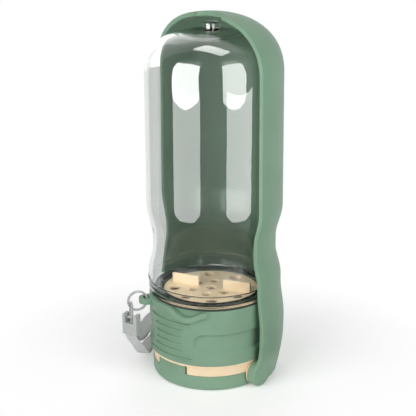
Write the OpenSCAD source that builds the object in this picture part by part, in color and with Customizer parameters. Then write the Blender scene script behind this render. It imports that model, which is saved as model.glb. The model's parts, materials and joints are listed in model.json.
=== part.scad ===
// Travel water bottle for a dog: a domed tank on a twist valve, with a folding trough
// Millimetres, +Z up, origin at the centre of the base, trough open towards -Y

/* [Base cap] */
// Outer radius of the base cap
base_r = 35.3; // [34.8:0.1:35.6]
// Height of the base cap
base_h = 15.3; // [15:0.1:16.5]
// Wall of the base cap
base_wall = 2.1; // [1.8:0.1:2.3]
// Thickness of the base cap's floor
base_floor = 2.4; // [2.2:0.1:2.8]
// Rounding of the base cap's bottom edge
base_edge_r = 2.6; // [1:0.1:3]
// Depth of the windows in the base cap's top edge
window_h = 5.8; // [4.5:0.1:6]
// Half angle of the solid tabs at the front and the back
tab_half_angle = 17.5; // [12:0.5:20]

/* [Valve body] */
// Thickness of the flange between base cap and collar
flange_t = 1.2; // [0.8:0.1:1.6]
// How far the flange reaches past the base cap
flange_reach = 1.1; // [0.6:0.1:1.3]
// Thickness of the valve body's floor
valve_floor = 2.5; // [2:0.1:3]
// Wall of the well that the rotor turns in
well_wall = 3.7; // [3:0.1:4]
// Radius of the circle that the ports lie on
port_circle_r = 14; // [13:0.5:15]
// Diameter of a port
port_d = 7; // [5:0.5:8]
// Number of ports
port_count = 3; // [2:1:4]
// Twist from shut to open, in degrees
twist_angle = 45; // [40:1:50]
// Radius of the rotor's stem
stem_r = 4; // [3.5:0.1:4.5]
// Radius of the post that holds the stem
stem_post_r = 8; // [7:0.5:9]
// Thickness of the soft valve pad
pad_t = 1.2; // [0.8:0.1:1.4]

/* [Collar] */
// How far the collar stands out past the base cap
collar_out = 1.9; // [1.5:0.1:2.1]
// Height of the collar
collar_h = 34.8; // [33:0.1:37]
// Wall of the collar
collar_wall = 2.2; // [1.8:0.1:2.4]
// Thickness of the collar's floor
collar_floor = 2; // [1.6:0.1:2.4]
// How far the wavy lip stands out
lip_reach = 1.7; // [1:0.1:1.9]
// Height of the lip's band
lip_h = 3.2; // [2.4:0.1:4]
// Place of the lip's dip, in degrees from the front
dip_angle = 20; // [12:1:28]
// Depth of the lip's dip
dip_depth = 4.6; // [3:0.1:5.5]
// Width of the lip's dip
dip_w = 17; // [12:0.5:20]
// How far a grip rib stands out
rib_reach = 0.45; // [0.2:0.05:0.6]
// Height of a grip rib
rib_h = 0.9; // [0.6:0.1:1.4]
// Height of the lowest grip rib above the collar's bottom
rib_first = 3.2; // [2:0.1:4]
// Distance from one grip rib to the next
rib_pitch = 4.35; // [4:0.05:4.7]
// Number of grip ribs
rib_count = 6; // [4:1:6]
// Height of a side recess
recess_h = 13; // [10:0.5:15]
// Depth of a side recess
recess_t = 1; // [0.5:0.1:1.2]
// Height of a side recess's lower edge above the collar's bottom
recess_z = 7; // [5:0.5:9]
// Place of a side recess's round end, in degrees from the front
recess_start = 30; // [28:1:36]

/* [Lug and strap] */
// Place of the lug, in degrees from the front
lug_angle = -27; // [-32:1:-22]
// Reach of the lug past the collar
lug_out = 8; // [7.4:0.1:8.4]
// Thickness of the lug
lug_t = 3.2; // [2.6:0.1:3.6]
// How far the lug's top lies below the collar's top
lug_drop = 0.4; // [0.2:0.1:1.8]
// Width of the lug
lug_w = 9.2; // [8:0.1:11]
// Radius of the lug's hole
lug_hole_r = 2.4; // [2.2:0.1:2.6]
// Mean radius of the split ring
ring_r = 5.8; // [5.6:0.1:6]
// Radius of the split ring's wire
ring_wire_r = 0.55; // [0.4:0.05:0.6]
// Half width of the strap link
link_half_w = 2.6; // [2.5:0.1:2.9]
// Length of the strap link's straight sides
link_side = 6.6; // [6:0.1:8]
// Radius of the strap link's wire
link_wire_r = 0.6; // [0.4:0.05:0.65]
// Width of the strap clamp
clamp_w = 10; // [9.6:0.1:11]
// Height of the strap clamp
clamp_h = 12.5; // [11.5:0.1:13]
// Depth of the strap clamp
clamp_d = 5.6; // [5:0.1:6.5]
// Radius of the clamp's pin
clamp_pin_r = 0.8; // [0.6:0.05:0.85]
// Width of the woven strap
strap_w = 8; // [7:0.1:8.4]
// Thickness of the woven strap
strap_t = 1.3; // [1:0.1:1.5]
// Rounding of the woven strap's edges
strap_edge = 0.3; // [0.1:0.05:0.4]

/* [Tank] */
// How far the tank's straight wall stands out past the collar
tank_out = 0.8; // [0.2:0.1:1]
// How far the waist is drawn in from the straight wall
waist_in = 3.4; // [3:0.1:4.2]
// How far the tank's foot stands out past the collar
foot_out = 0.2; // [-0.4:0.1:0.6]
// Wall of the tank
tank_wall = 2; // [1.6:0.1:2.4]
// Height of the tank from its shoulder to the top of the dome
tank_h = 155.5; // [152:0.5:156]
// Height of the dome
tank_dome_h = 24.5; // [22:0.5:26]
// Rounding of the shoulder
tank_shoulder_r = 4; // [3:0.1:5]
// Wall of the threaded sleeve that the neck screws into
sleeve_wall = 3.4; // [3:0.1:3.8]
// Length of the threaded neck
neck_l = 14; // [12:0.5:15]
// How far a thread ridge stands out
thread_reach = 0.9; // [0.6:0.1:1.1]
// Height of a thread ridge
thread_h = 1.6; // [1.2:0.1:2]
// Distance between the two thread ridges
thread_pitch = 4; // [3.5:0.1:4.5]
// Radius of the nub on top of the dome
nub_r = 4.7; // [4:0.1:5]
// Height of the nub
nub_h = 2.4; // [1.6:0.1:3]
// Thickness of the gasket under the shoulder
gasket_t = 1.2; // [0.8:0.1:1.6]

/* [Filter] */
// Gap between the perforated lid and the inside of the neck
lid_gap = 0.6; // [0.4:0.1:1]
// Thickness of the perforated lid
lid_t = 2; // [1.6:0.1:2.4]
// Height of the grip tabs
tab_h = 6.5; // [5:0.1:8]
// Length of a grip tab
tab_l = 17; // [14:0.5:18]
// Thickness of a grip tab
tab_t = 1.6; // [1.2:0.1:2]
// Turn of the grip tabs from the X axis, in degrees
tab_turn = 22.5; // [20:0.5:25]
// Wall of the filter basket
basket_wall = 1.5; // [1.2:0.1:1.8]
// Depth of the lid's skirt in the basket
skirt_h = 4; // [3:0.1:5]
// Thickness of each felt disc
felt_t = 3; // [2:0.1:4]
// Thickness of the carbon bed
carbon_t = 17; // [14:0.5:18]

/* [Trough] */
// Wall of the trough
trough_wall = 2.6; // [2.4:0.1:2.8]
// How far the trough stands out past the tank's straight wall
trough_out = 4.3; // [4:0.1:4.6]
// How far it stands out past that wall where its dome starts
trough_dome_out = 3.6; // [3.4:0.1:4]
// How far it stands out past the tank's waist
trough_waist_out = 3.9; // [3.7:0.1:4.2]
// How far it stands out past the tank's foot
trough_foot_out = 4.5; // [4.4:0.1:4.9]
// How far it stands out past the collar
trough_skirt_out = 7; // [6.7:0.1:7.4]
// How far its bottom edge stands out past the base cap
trough_edge_out = 4.9; // [4.8:0.1:5.3]
// Height of the trough's bottom edge above the ground
trough_edge_z = 2; // [1.6:0.1:2.6]
// How far the trough's dome rises over the tank's
trough_rise = 9.5; // [8.5:0.5:10.5]
// How far the rim lies in front of the axis
rim_y = 2.8; // [2:0.1:3.2]
// Width of the notch in the rim over the nub
notch_w = 21; // [18:0.5:24]
// Depth of that notch behind the rim
notch_d = 4.5; // [3:0.1:5]
// Height of the trough's pivot
pivot_z = 8.2; // [8:0.1:8.4]
// Radius of an ear
ear_r = 7; // [6.8:0.1:7.2]
// Thickness of an ear
ear_t = 3; // [2.8:0.1:3.3]
// Radius of the stub that the trough turns on
stub_r = 3.35; // [3:0.05:3.5]

/* [Fasteners] */
// Radius of a screw's shank
screw_r = 1.4; // [1.2:0.1:1.5]
// Radius of a screw's head
screw_head_r = 2.8; // [2.4:0.1:3]
// Thickness of a screw's head
screw_head_h = 1.3; // [1:0.1:1.5]
// How far the base screws' heads lie above the base's flat bottom
screw_sink = 0.1; // [0.1:0.1:0.4]

/* [Hidden] */
$fn = 96;

// Clearances
turn_gap = 0.3;   // between bodies that turn past each other
seat_gap = 0.1;   // between pieces that are fastened together
stand_gap = 0.2;  // between pieces that only stand over each other
run_gap = 0.05;   // round a shaft in its bore
slide_gap = 0.1;  // between the rotor and the soft pad
head_gap = 0.2;   // round a screw's head in its counterbore
tip_gap = 0.3;    // past the end of a screw in its bore
well_gap = 0.5;   // round the rotor in its well, which its seal closes
eps = 0.01;
far = 200;        // longer than any cut needs

// Colours
green = [0.47, 0.60, 0.49];
beige = [0.96, 0.86, 0.73];
clear = [0.85, 0.88, 0.88, 0.35];
dark_rubber = [0.24, 0.26, 0.25];
steel = [0.72, 0.72, 0.72];
grey = [0.66, 0.68, 0.67];

// Heights, stacked from the ground up
flange_z = base_h + stand_gap;
flange_top = flange_z + flange_t;
collar_z = flange_top + turn_gap;
collar_top = collar_z + collar_h;
collar_floor_top = collar_z + collar_floor;
shoulder_z = collar_top + gasket_t;
tank_top = shoulder_z + tank_h;
trough_top = tank_top + trough_rise;
lid_top = collar_top + stand_gap;
lid_z = lid_top - lid_t;
valve_floor_z = base_h - window_h;
valve_floor_top = valve_floor_z + valve_floor;
rotor_z = valve_floor_top + pad_t + slide_gap;

// Radii of the base
base_in_r = base_r - base_wall;
body_r = base_in_r - turn_gap;
well_r = body_r - well_wall;
flange_r = base_r + flange_reach;
rotor_r = well_r - well_gap;

// Radii of the collar, the tank and the filter
collar_r = base_r + collar_out;
collar_in_r = collar_r - collar_wall;
lip_r = collar_r + lip_reach;
sleeve_r = collar_in_r - seat_gap;
sleeve_in_r = sleeve_r - sleeve_wall;
neck_r = sleeve_in_r - turn_gap;
neck_in_r = neck_r - tank_wall;
tank_foot_r = collar_r + foot_out;
tank_r = collar_r + tank_out;
tank_waist_r = tank_r - waist_in;
lid_r = neck_in_r - lid_gap;
basket_r = lid_r - stand_gap;
basket_in_r = basket_r - basket_wall;
lug_reach = collar_r + lug_out;

// Radii of the trough
trough_edge_r = base_r + trough_edge_out;
trough_skirt_r = collar_r + trough_skirt_out;
trough_foot_r = tank_foot_r + trough_foot_out;
trough_waist_r = tank_waist_r + trough_waist_out;
trough_r = tank_r + trough_out;
trough_dome_r = tank_r + trough_dome_out;

// Sleeve, threads and basket
sleeve_l = neck_l + 2;
sleeve_z = collar_top - sleeve_l;
ledge_t = 2;
thread_lead = 0.3;
thread_z = shoulder_z - neck_l + 3;
basket_z = collar_floor_top + stand_gap;
lower_felt_z = basket_z + basket_wall + seat_gap;
carbon_z = lower_felt_z + felt_t + seat_gap;
upper_felt_z = carbon_z + carbon_t + seat_gap;
felt_r = basket_in_r - turn_gap;
basket_groove_h = 1.8;
basket_groove_depth = 0.8;
catch_reach = 0.5;
catch_h = 1.2;
catch_w = 10;
lid_skirt_wall = 1.5;
tab_start = 8;

// Holes of the filter's lid and basket: an outer ring, an inner ring and one in the middle
outer_ring_r = lid_r - 6.6;
outer_hole_r = 3.5;
outer_hole_count = 8;
inner_ring_r = 11;
inner_hole_r = 2.8;
inner_hole_count = 6;
middle_hole_r = 3;

// Pivot: boss on the valve body, ear and stub on the trough
boss_neck_r = 6.3;
boss_face = flange_r + 2.2;
boss_disc_t = 3;
boss_r = ear_r + 0.4;
boss_root = 2;       // how deep the boss's neck starts inside the body
ear_in = boss_face + turn_gap;
ear_face = ear_in + ear_t;
bore_depth = 4.6;
stub_end_gap = 0.4;  // past the stub's end in its bore
stub_root = 0.6;     // between the stub's root and the ear's outer face

// Ledge in the base cap and the seal on it
base_seal_t = 1.2;
seal_inset = 0.6;
ledge_w = 3;
ledge_z = valve_floor_z - base_seal_t;

// Screws, nozzle and washer
post_circle_r = well_r - 5.2;
post_r = 3.2;
post_angles = [90, 210, 330];
post_screw_l = 7.6;
rotor_screw_l = 4;
rotor_screw_z = collar_floor_top - rotor_screw_l;
rotor_screw_circle_r = rotor_r - 5.2;
rotor_screw_turn = 20;
nozzle_y = 11.2 - base_in_r;
nozzle_r = 6.4;
nozzle_bore_r = 4;
nozzle_lip_r = 8;
nozzle_lip_t = 1.2;
washer_r = 7;
washer_t = 0.9;
stem_end_z = valve_floor_z - 4.5;
pad_rim = 3;         // how far the pad reaches past its ports
seal_wire_r = 0.85;
seal_groove_depth = 1.4;
seal_groove_z = rotor_z + 0.8;
seal_groove_h = 2 * seal_wire_r + 2 * seat_gap;

// Tank: nub, flat ceiling inside the dome, and the dome's roundness
nub_edge = 0.6;
ceiling_drop = 3.4;
ceiling_r = 17;
tank_dome_power = 2.55;
trough_dome_power = 2.25;
gasket_out = 1.3;
gasket_in = 0.6;

// Lip and ribs on the collar's front, in degrees from the front
lip_half_w = 29;
lip_past_lug = 6;
lip_end_angle = 42;
rib_half_angles = [27, 19, 17, 17, 18.5, 25.5];
rib_root = 1;
index_notch_w = 1.8;

// Split ring and link: places measured outwards along the lug and up
lug_z = collar_top - lug_drop - lug_t;
lug_hole_x = lug_reach - lug_w / 2 - 0.2;
ring_z = lug_z + lug_t / 2;
ring_x = lug_hole_x + ring_r;
ring_bite = 0.1;     // how far the ring's two turns sink into each other
link_x = ring_x + 4;
link_top_z = ring_z - 0.2;
link_low_z = link_top_z - 2 * link_half_w - link_side;
clamp_turn = 13.6;
clamp_x = link_x * sin(lug_angle);
clamp_y = -link_x * cos(lug_angle);
clamp_pin_z = link_low_z + link_wire_r + clamp_pin_r + stand_gap;
clamp_z = clamp_pin_z + 2.4 - clamp_h;
clamp_edge = 0.8;
pocket_w = 5.8;
pocket_floor_z = link_low_z - link_wire_r - 0.7;

// Woven strap: places of its middle line and the turn of its width, chosen by hand, from the clamp's
// front leg down to the ground, round the loop's end and back to the clamp's rear leg. Its loop, which
// lies on the ground, runs from one given point of the route to another; the legs are the rest.
loop_from = 8;
loop_to = 15;
strap_path = [[-22.5, -45.9, 29.3, 14], [-21.4, -44.9, 25.6, 17], [-20, -41.8, 20.8, 25], [-21.6, -37.8, 15.9, 32],
    [-26.2, -31.8, 11.2, 38], [-32.6, -25, 7.6, 42], [-39.2, -17.6, 4.6, 44], [-46.8, -10, 2, 38],
    [-52.2, -1, 1.1, 28], [-55.6, 8, 0.9, 20], [-58.3, 17, 1.1, 17], [-60.6, 25.5, 3, 15],
    [-61.8, 30.5, 8, 15], [-61, 27.5, 13.4, 15], [-58.6, 19, 15.6, 17], [-55.8, 9.5, 16.4, 20],
    [-52.4, 0, 17, 28], [-47, -9.5, 17.4, 38], [-40, -18, 18, 42], [-34.2, -26, 18.8, 38],
    [-29, -34.2, 20.4, 30], [-25, -39.8, 23.2, 22], [-23.3, -42.8, 26.8, 16], [-23.1, -43.5, 29.3, 14]];

// A quarter of a rounded square from angle a0 to a1: half axes a and b, exponent p
function dome(a, b, p, z0, a0, a1, n) = [for (i = [0:n]) let (t = a0 + (a1 - a0) * i / n)
    [a * pow(abs(cos(t)), 2 / p), z0 + b * pow(abs(sin(t)), 2 / p)]];
// A smooth step from radius r0 at z0 to radius r1 at z1
function ease(r0, z0, r1, z1, n) = [for (i = [0:n])
    [r0 + (r1 - r0) * (1 - cos(180 * i / n)) / 2, z0 + (z1 - z0) * i / n]];
function backwards(list) = [for (i = [len(list) - 1:-1:0]) list[i]];
// A circular arc
function arc(x, z, r, a0, a1, n) = [for (i = [0:n]) let (t = a0 + (a1 - a0) * i / n)
    [x + r * cos(t), z + r * sin(t)]];

// Heights along the tank, measured up from its shoulder
foot_top_h = 9;
waist_low_h = 28;
waist_high_h = 33.5;
wall_low_h = 53;
foot_top = shoulder_z + foot_top_h;
waist_low = shoulder_z + waist_low_h;
waist_high = shoulder_z + waist_high_h;
wall_low = shoulder_z + wall_low_h;
dome_z = tank_top - tank_dome_h;

// Outline of the tank from the shoulder up to the dome, drawn in by a wall t
function tank_side(t) = concat(
    ease(tank_foot_r - t, foot_top, tank_waist_r - t, waist_low, 10),
    ease(tank_waist_r - t, waist_high, tank_r - t, wall_low, 10));

// Heights along the trough
skirt_rise = 14;
skirt_flat = 5;
trough_foot_flat = 2;
skirt_low = collar_z + skirt_rise;
skirt_high = skirt_low + skirt_flat;
foot_z = foot_top - trough_foot_flat;
trough_waist_high = waist_high + 0.5;
trough_wall_low = wall_low + 1;

// Outline of the trough from its bottom edge up to the top of its dome, drawn in by a wall t
function trough_side(t) = concat(
    [for (i = [0:6]) let (s = i / 6) [trough_edge_r - t + (trough_skirt_r - trough_edge_r) * sin(90 * s),
        trough_edge_z + (skirt_low - trough_edge_z) * s]],
    ease(trough_skirt_r - t, skirt_high, trough_foot_r - t, foot_z, 8),
    ease(trough_foot_r - t, foot_top, trough_waist_r - t, waist_low, 8),
    ease(trough_waist_r - t, trough_waist_high, trough_r - t, trough_wall_low, 8),
    dome(trough_dome_r - t, trough_top - dome_z - t, trough_dome_power, dome_z, 0, 90, 16));

module tube(r, r_in, h) {
    difference() {
        cylinder(r = r, h = h);
        translate([0, 0, -1]) cylinder(r = r_in, h = h + 2);
    }
}

// A wedge from angle a0 to a1, in degrees from the front towards +X
module wedge(a0, a1, z, h) {
    mid = (a0 + a1) / 2;
    translate([0, 0, z]) linear_extrude(h) polygon([[0, 0],
        [far * sin(a0), -far * cos(a0)], [far * sin(mid), -far * cos(mid)], [far * sin(a1), -far * cos(a1)]]);
}

module ports(turn, z, h, r) {
    for (i = [0:port_count - 1]) rotate(turn + i * 360 / port_count)
        translate([port_circle_r, 0, z]) cylinder(r = r, h = h);
}

module at_posts(z) {
    for (a = post_angles) rotate(a) translate([post_circle_r, 0, z]) children();
}

module at_rotor_screws(z) {
    for (i = [0:2]) rotate(rotor_screw_turn + i * 120) translate([rotor_screw_circle_r, 0, z]) children();
}

module at_pivots() {
    for (side = [0, 180]) rotate(side) translate([0, 0, pivot_z]) rotate([0, 90, 0]) children();
}

module pan_screw(l) {
    cylinder(r = screw_head_r, h = screw_head_h);
    translate([0, 0, screw_head_h - eps]) cylinder(r = screw_r, h = l + eps);
}

// Base -----------------------------------------------------------------------------------------

module base_cap() {
    slot_half = boss_neck_r + turn_gap;
    slot_l = 10;
    color(green) difference() {
        rotate_extrude() polygon(concat([[0, 0]],
            arc(base_r - base_edge_r, base_edge_r, base_edge_r, -90, 0, 8),
            [[base_r, base_h], [base_in_r, base_h], [base_in_r, ledge_z], [base_in_r - ledge_w, ledge_z],
            [base_in_r - ledge_w, base_floor], [0, base_floor]]));
        for (side = [0, 180]) rotate(side) {
            difference() {
                wedge(tab_half_angle, 180 - tab_half_angle, valve_floor_z, window_h + 1);
                translate([0, 0, -1]) cylinder(r = well_r, h = far);
            }
            // slot for the pivot's boss, which leaves the ledge closed
            difference() {
                union() {
                    translate([well_r - 1, -slot_half, pivot_z]) cube([slot_l, 2 * slot_half, base_h]);
                    translate([well_r - 1, 0, pivot_z]) rotate([0, 90, 0])
                        cylinder(r = slot_half, h = slot_l);
                }
                translate([0, 0, -1]) cylinder(r = base_in_r, h = ledge_z + 1);
            }
        }
        at_posts(-1) cylinder(r = screw_r + seat_gap, h = base_floor + 2);
        at_posts(-1) cylinder(r = screw_head_r + head_gap, h = 1 + screw_sink + screw_head_h);
        translate([0, nozzle_y, -1]) cylinder(r = nozzle_r + seat_gap, h = base_floor + 2);
    }
}

module base_screws() {
    color(steel) at_posts(screw_sink) pan_screw(post_screw_l);
}

module base_seal() {
    color(dark_rubber) translate([0, 0, ledge_z])
        tube(base_in_r - seal_inset, base_in_r - ledge_w + seal_inset / 2, base_seal_t);
}

module outlet_nozzle() {
    color(dark_rubber) translate([0, nozzle_y, 0]) difference() {
        union() {
            translate([0, 0, stand_gap]) cylinder(r = nozzle_r, h = base_floor);
            translate([0, 0, base_floor]) cylinder(r = nozzle_lip_r, h = nozzle_lip_t);
        }
        translate([0, 0, -1]) cylinder(r = nozzle_bore_r, h = base_floor + nozzle_lip_t + 2);
    }
}

module valve_body() {
    window_gap_angle = 2;
    block_start = tab_half_angle + window_gap_angle;
    block_r = base_r - turn_gap;
    color(beige) difference() {
        union() {
            translate([0, 0, valve_floor_z]) cylinder(r = body_r, h = flange_z - valve_floor_z + eps);
            translate([0, 0, flange_z]) cylinder(r = flange_r, h = flange_t);
            // blocks that show in the windows
            for (side = [0, 180]) rotate(side) intersection() {
                translate([0, 0, valve_floor_z + seat_gap])
                    cylinder(r = block_r, h = flange_z - valve_floor_z);
                wedge(block_start, 180 - block_start, valve_floor_z, window_h + 1);
            }
            translate([0, 0, stem_end_z + stand_gap])
                cylinder(r = stem_post_r, h = valve_floor_z - stem_end_z);
            at_posts(base_floor + stand_gap) cylinder(r = post_r, h = valve_floor_z - base_floor);
            for (side = [0, 180]) rotate(side) difference() {
                translate([body_r - boss_root, 0, pivot_z]) rotate([0, 90, 0])
                    cylinder(r = boss_neck_r, h = boss_face - body_r + boss_root / 2);
                translate([0, -far / 2, -far + valve_floor_z]) cube([base_in_r + seat_gap, far, far]);
            }
            at_pivots() translate([0, 0, boss_face - boss_disc_t]) cylinder(r = boss_r, h = boss_disc_t);
        }
        translate([0, 0, valve_floor_top]) cylinder(r = well_r, h = far);
        translate([0, 0, -1]) cylinder(r = stem_r + run_gap, h = far);
        ports(twist_angle, 0, far, port_d / 2);
        at_posts(base_floor - 1) cylinder(r = screw_r + run_gap, h = valve_floor_z - base_floor + 1);
        at_pivots() translate([0, 0, boss_face - bore_depth])
            cylinder(r = stub_r + run_gap, h = bore_depth + 1);
    }
}

module valve_pad() {
    stem_room = 1.5;
    color(dark_rubber) difference() {
        translate([0, 0, valve_floor_top]) cylinder(r = port_circle_r + port_d / 2 + pad_rim, h = pad_t);
        translate([0, 0, valve_floor_top - 1]) cylinder(r = stem_r + stem_room, h = pad_t + 2);
        ports(twist_angle, valve_floor_top - 1, pad_t + 2, port_d / 2);
    }
}

// Head -----------------------------------------------------------------------------------------

module valve_rotor() {
    color(beige) difference() {
        union() {
            translate([0, 0, rotor_z]) cylinder(r = rotor_r, h = collar_z - rotor_z);
            translate([0, 0, stem_end_z]) cylinder(r = stem_r, h = rotor_z - stem_end_z + eps);
        }
        translate([0, 0, seal_groove_z]) tube(rotor_r + 1, rotor_r - seal_groove_depth, seal_groove_h);
        ports(0, 0, far, port_d / 2);
        at_rotor_screws(rotor_screw_z - tip_gap) cylinder(r = screw_r + run_gap, h = rotor_screw_l);
        translate([0, 0, -1]) cylinder(r = screw_r + run_gap, h = rotor_z);
    }
}

module rotor_seal() {
    color(dark_rubber) translate([0, 0, seal_groove_z + seal_groove_h / 2]) rotate_extrude()
        translate([well_r - run_gap - seal_wire_r, 0]) circle(r = seal_wire_r, $fn = 24);
}

module rotor_screws() {
    color(steel) at_rotor_screws(rotor_screw_z) cylinder(r = screw_r, h = rotor_screw_l - eps);
    color(steel) at_rotor_screws(collar_floor_top - screw_head_h)
        cylinder(r = screw_head_r, h = screw_head_h);
}

module stem_washer() {
    color(steel) translate([0, 0, stem_end_z - washer_t]) tube(washer_r, screw_r + head_gap, washer_t);
}

module stem_screw() {
    color(steel) translate([0, 0, stem_end_z - washer_t - screw_head_h]) pan_screw(post_screw_l);
}

// Outline of the lip's dip, as a strip h high that sinks by dip_depth, in a plane x across and z up
function lip_line(x) = abs(x) < dip_w / 2 ? -dip_depth * (1 + cos(360 * x / dip_w)) / 2 : 0;

module lip_strip(top, low, half_w) {
    n = 28;
    polygon(concat([for (i = [0:n]) let (x = -half_w + 2 * half_w * i / n) [x, lip_line(x) + top]],
        [for (i = [n:-1:0]) let (x = -half_w + 2 * half_w * i / n) [x, lip_line(x) + low]]));
}

module facing(angle) {
    rotate([0, 0, angle]) rotate([90, 0, 0]) linear_extrude(far) children();
}

module lug() {
    lug_root = collar_in_r + 0.5;
    rotate([0, 0, lug_angle - 90]) translate([0, 0, lug_z]) linear_extrude(lug_t) {
        translate([lug_reach - lug_w / 2, 0]) circle(r = lug_w / 2);
        translate([lug_root, -lug_w / 2]) square([lug_reach - lug_w / 2 - lug_root, lug_w]);
    }
}

// A long recess round the right side: one outline, seen from that side, whose round ends are
// wrapped round the collar
module side_recess() {
    round_r = recess_h / 2;
    mid_z = collar_z + recess_z + round_r;
    mid = recess_start + asin(round_r / collar_r);
    round_end = [for (p = arc(0, mid_z, round_r, 90, 270, 16))
        [-collar_r * cos(mid + p[0] / collar_r * 180 / PI), p[1]]];
    intersection() {
        translate([0, 0, collar_z]) tube(2 * collar_r, collar_r - recess_t, collar_h);
        rotate([90, 0, 90]) linear_extrude(far)
            polygon(concat(round_end, [for (p = backwards(round_end)) [-p[0], p[1]]]));
    }
}

module collar() {
    color(green) difference() {
        union() {
            difference() {
                translate([0, 0, collar_z]) cylinder(r = collar_r, h = collar_h);
                translate([0, 0, collar_floor_top]) cylinder(r = collar_in_r, h = far);
                // the dip in the top edge
                facing(dip_angle) translate([0, collar_top]) lip_strip(dip_depth + 1, 0, dip_w / 2);
                side_recess();
                mirror([1, 0, 0]) side_recess();
            }
            translate([0, 0, sleeve_z - ledge_t]) tube(collar_in_r + stand_gap, sleeve_in_r, ledge_t);
            // wavy lip round the front
            intersection() {
                translate([0, 0, collar_z]) tube(lip_r, collar_in_r + 2 * stand_gap, collar_h);
                facing(dip_angle) translate([0, collar_top]) lip_strip(0, -lip_h, lip_half_w);
                wedge(lug_angle - lip_past_lug, lip_end_angle, collar_z, collar_h);
            }
            for (i = [0:rib_count - 1]) intersection() {
                translate([0, 0, collar_z + rib_first + i * rib_pitch])
                    tube(collar_r + rib_reach, collar_r - rib_root, rib_h);
                wedge(-rib_half_angles[i], rib_half_angles[i], collar_z, collar_h);
            }
            lug();
        }
        rotate([0, 0, lug_angle - 90]) translate([lug_hole_x, 0, 0]) cylinder(r = lug_hole_r, h = far);
        ports(0, 0, collar_floor_top + 1, port_d / 2);
        at_rotor_screws(0) cylinder(r = screw_r + seat_gap, h = collar_floor_top + 1);
        at_rotor_screws(collar_floor_top - screw_head_h)
            cylinder(r = screw_head_r + head_gap, h = screw_head_h + 1);
        // small alignment notch in the bottom edge
        facing(0) polygon([[-index_notch_w / 2, collar_z - 1], [index_notch_w / 2, collar_z - 1],
            [0, collar_z + 1]]);
    }
}

module thread_sleeve() {
    color(green) difference() {
        translate([0, 0, sleeve_z]) cylinder(r = sleeve_r, h = sleeve_l);
        translate([0, 0, sleeve_z - 1]) cylinder(r = sleeve_in_r, h = sleeve_l + 2);
        for (i = [0, 1]) translate([0, 0, thread_z + i * thread_pitch - stand_gap])
            cylinder(r = sleeve_in_r + thread_reach, h = thread_h + 2 * stand_gap);
    }
}

module tank() {
    inner_top = tank_top - ceiling_drop;
    color(clear) rotate_extrude() polygon(concat(
        [[neck_in_r, shoulder_z - neck_l], [neck_r, shoulder_z - neck_l]],
        [for (i = [0, 1]) for (p = [[0, 0], [thread_reach, thread_lead],
            [thread_reach, thread_h - thread_lead], [0, thread_h]])
            [neck_r + p[0], thread_z + i * thread_pitch + p[1]]],
        [[neck_r, shoulder_z]],
        arc(tank_foot_r - tank_shoulder_r, shoulder_z + tank_shoulder_r, tank_shoulder_r, -90, 0, 6),
        tank_side(0),
        [for (p = dome(tank_r, tank_dome_h, tank_dome_power, dome_z, 0, 82, 14)) if (p[0] > nub_r) p],
        [[nub_r, tank_top - seat_gap], [nub_r, tank_top + nub_h - nub_edge],
            [nub_r - nub_edge, tank_top + nub_h], [0, tank_top + nub_h],
            [0, inner_top], [ceiling_r, inner_top]],
        [for (p = dome(tank_r - tank_wall, tank_dome_h - tank_wall, tank_dome_power, dome_z, 82, 0, 14))
            if (p[1] < inner_top - 2 * stand_gap) p],
        backwards(tank_side(tank_wall)),
        [[tank_foot_r - tank_wall, shoulder_z + tank_shoulder_r], [neck_in_r, shoulder_z + tank_wall]]));
}

module tank_gasket() {
    color(dark_rubber) translate([0, 0, collar_top])
        tube(sleeve_r + gasket_out, neck_r + gasket_in, gasket_t);
}

module filter_holes(z, h) {
    for (i = [0:outer_hole_count - 1]) rotate(i * 360 / outer_hole_count)
        translate([outer_ring_r, 0, z]) cylinder(r = outer_hole_r, h = h);
    for (i = [0:inner_hole_count - 1]) rotate(i * 360 / inner_hole_count)
        translate([inner_ring_r, 0, z]) cylinder(r = inner_hole_r, h = h);
    translate([0, 0, z]) cylinder(r = middle_hole_r, h = h);
}

module filter_basket() {
    groove_z = lid_z - skirt_h + 0.8;
    color(beige) difference() {
        translate([0, 0, basket_z]) cylinder(r = basket_r, h = lid_z - turn_gap - basket_z);
        translate([0, 0, basket_z + basket_wall]) cylinder(r = basket_in_r, h = far);
        filter_holes(basket_z - 1, basket_wall + 2);
        translate([0, 0, groove_z]) cylinder(r = basket_in_r + basket_groove_depth, h = basket_groove_h);
    }
}

module felt_disc(z, t) {
    translate([0, 0, z]) cylinder(r = felt_r, h = t);
}

module lower_felt() {
    color([0.93, 0.93, 0.9]) felt_disc(lower_felt_z, felt_t);
}

module carbon_bed() {
    color([0.13, 0.13, 0.13]) felt_disc(carbon_z, carbon_t);
}

module upper_felt() {
    color([0.93, 0.93, 0.9]) felt_disc(upper_felt_z, felt_t);
}

module filter_lid() {
    catch_z = lid_z - skirt_h + 1.1;
    skirt_r = basket_in_r - turn_gap;
    color(beige) difference() {
        union() {
            translate([0, 0, lid_z]) cylinder(r = lid_r, h = lid_t);
            translate([0, 0, lid_z - skirt_h]) tube(skirt_r, skirt_r - lid_skirt_wall, skirt_h + eps);
            // bayonet catches that run in the basket's groove
            intersection() {
                translate([0, 0, catch_z]) tube(basket_in_r + catch_reach, basket_in_r - 1, catch_h);
                rotate(tab_turn) translate([-far / 2, -catch_w / 2, 0]) cube([far, catch_w, far]);
            }
            for (side = [0, 180]) rotate(side + tab_turn) translate([tab_start, -tab_t / 2, lid_top - eps])
                cube([tab_l, tab_t, tab_h]);
        }
        filter_holes(lid_z - skirt_h - 1, skirt_h + lid_t + 2);
    }
}

// Trough ---------------------------------------------------------------------------------------

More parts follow.
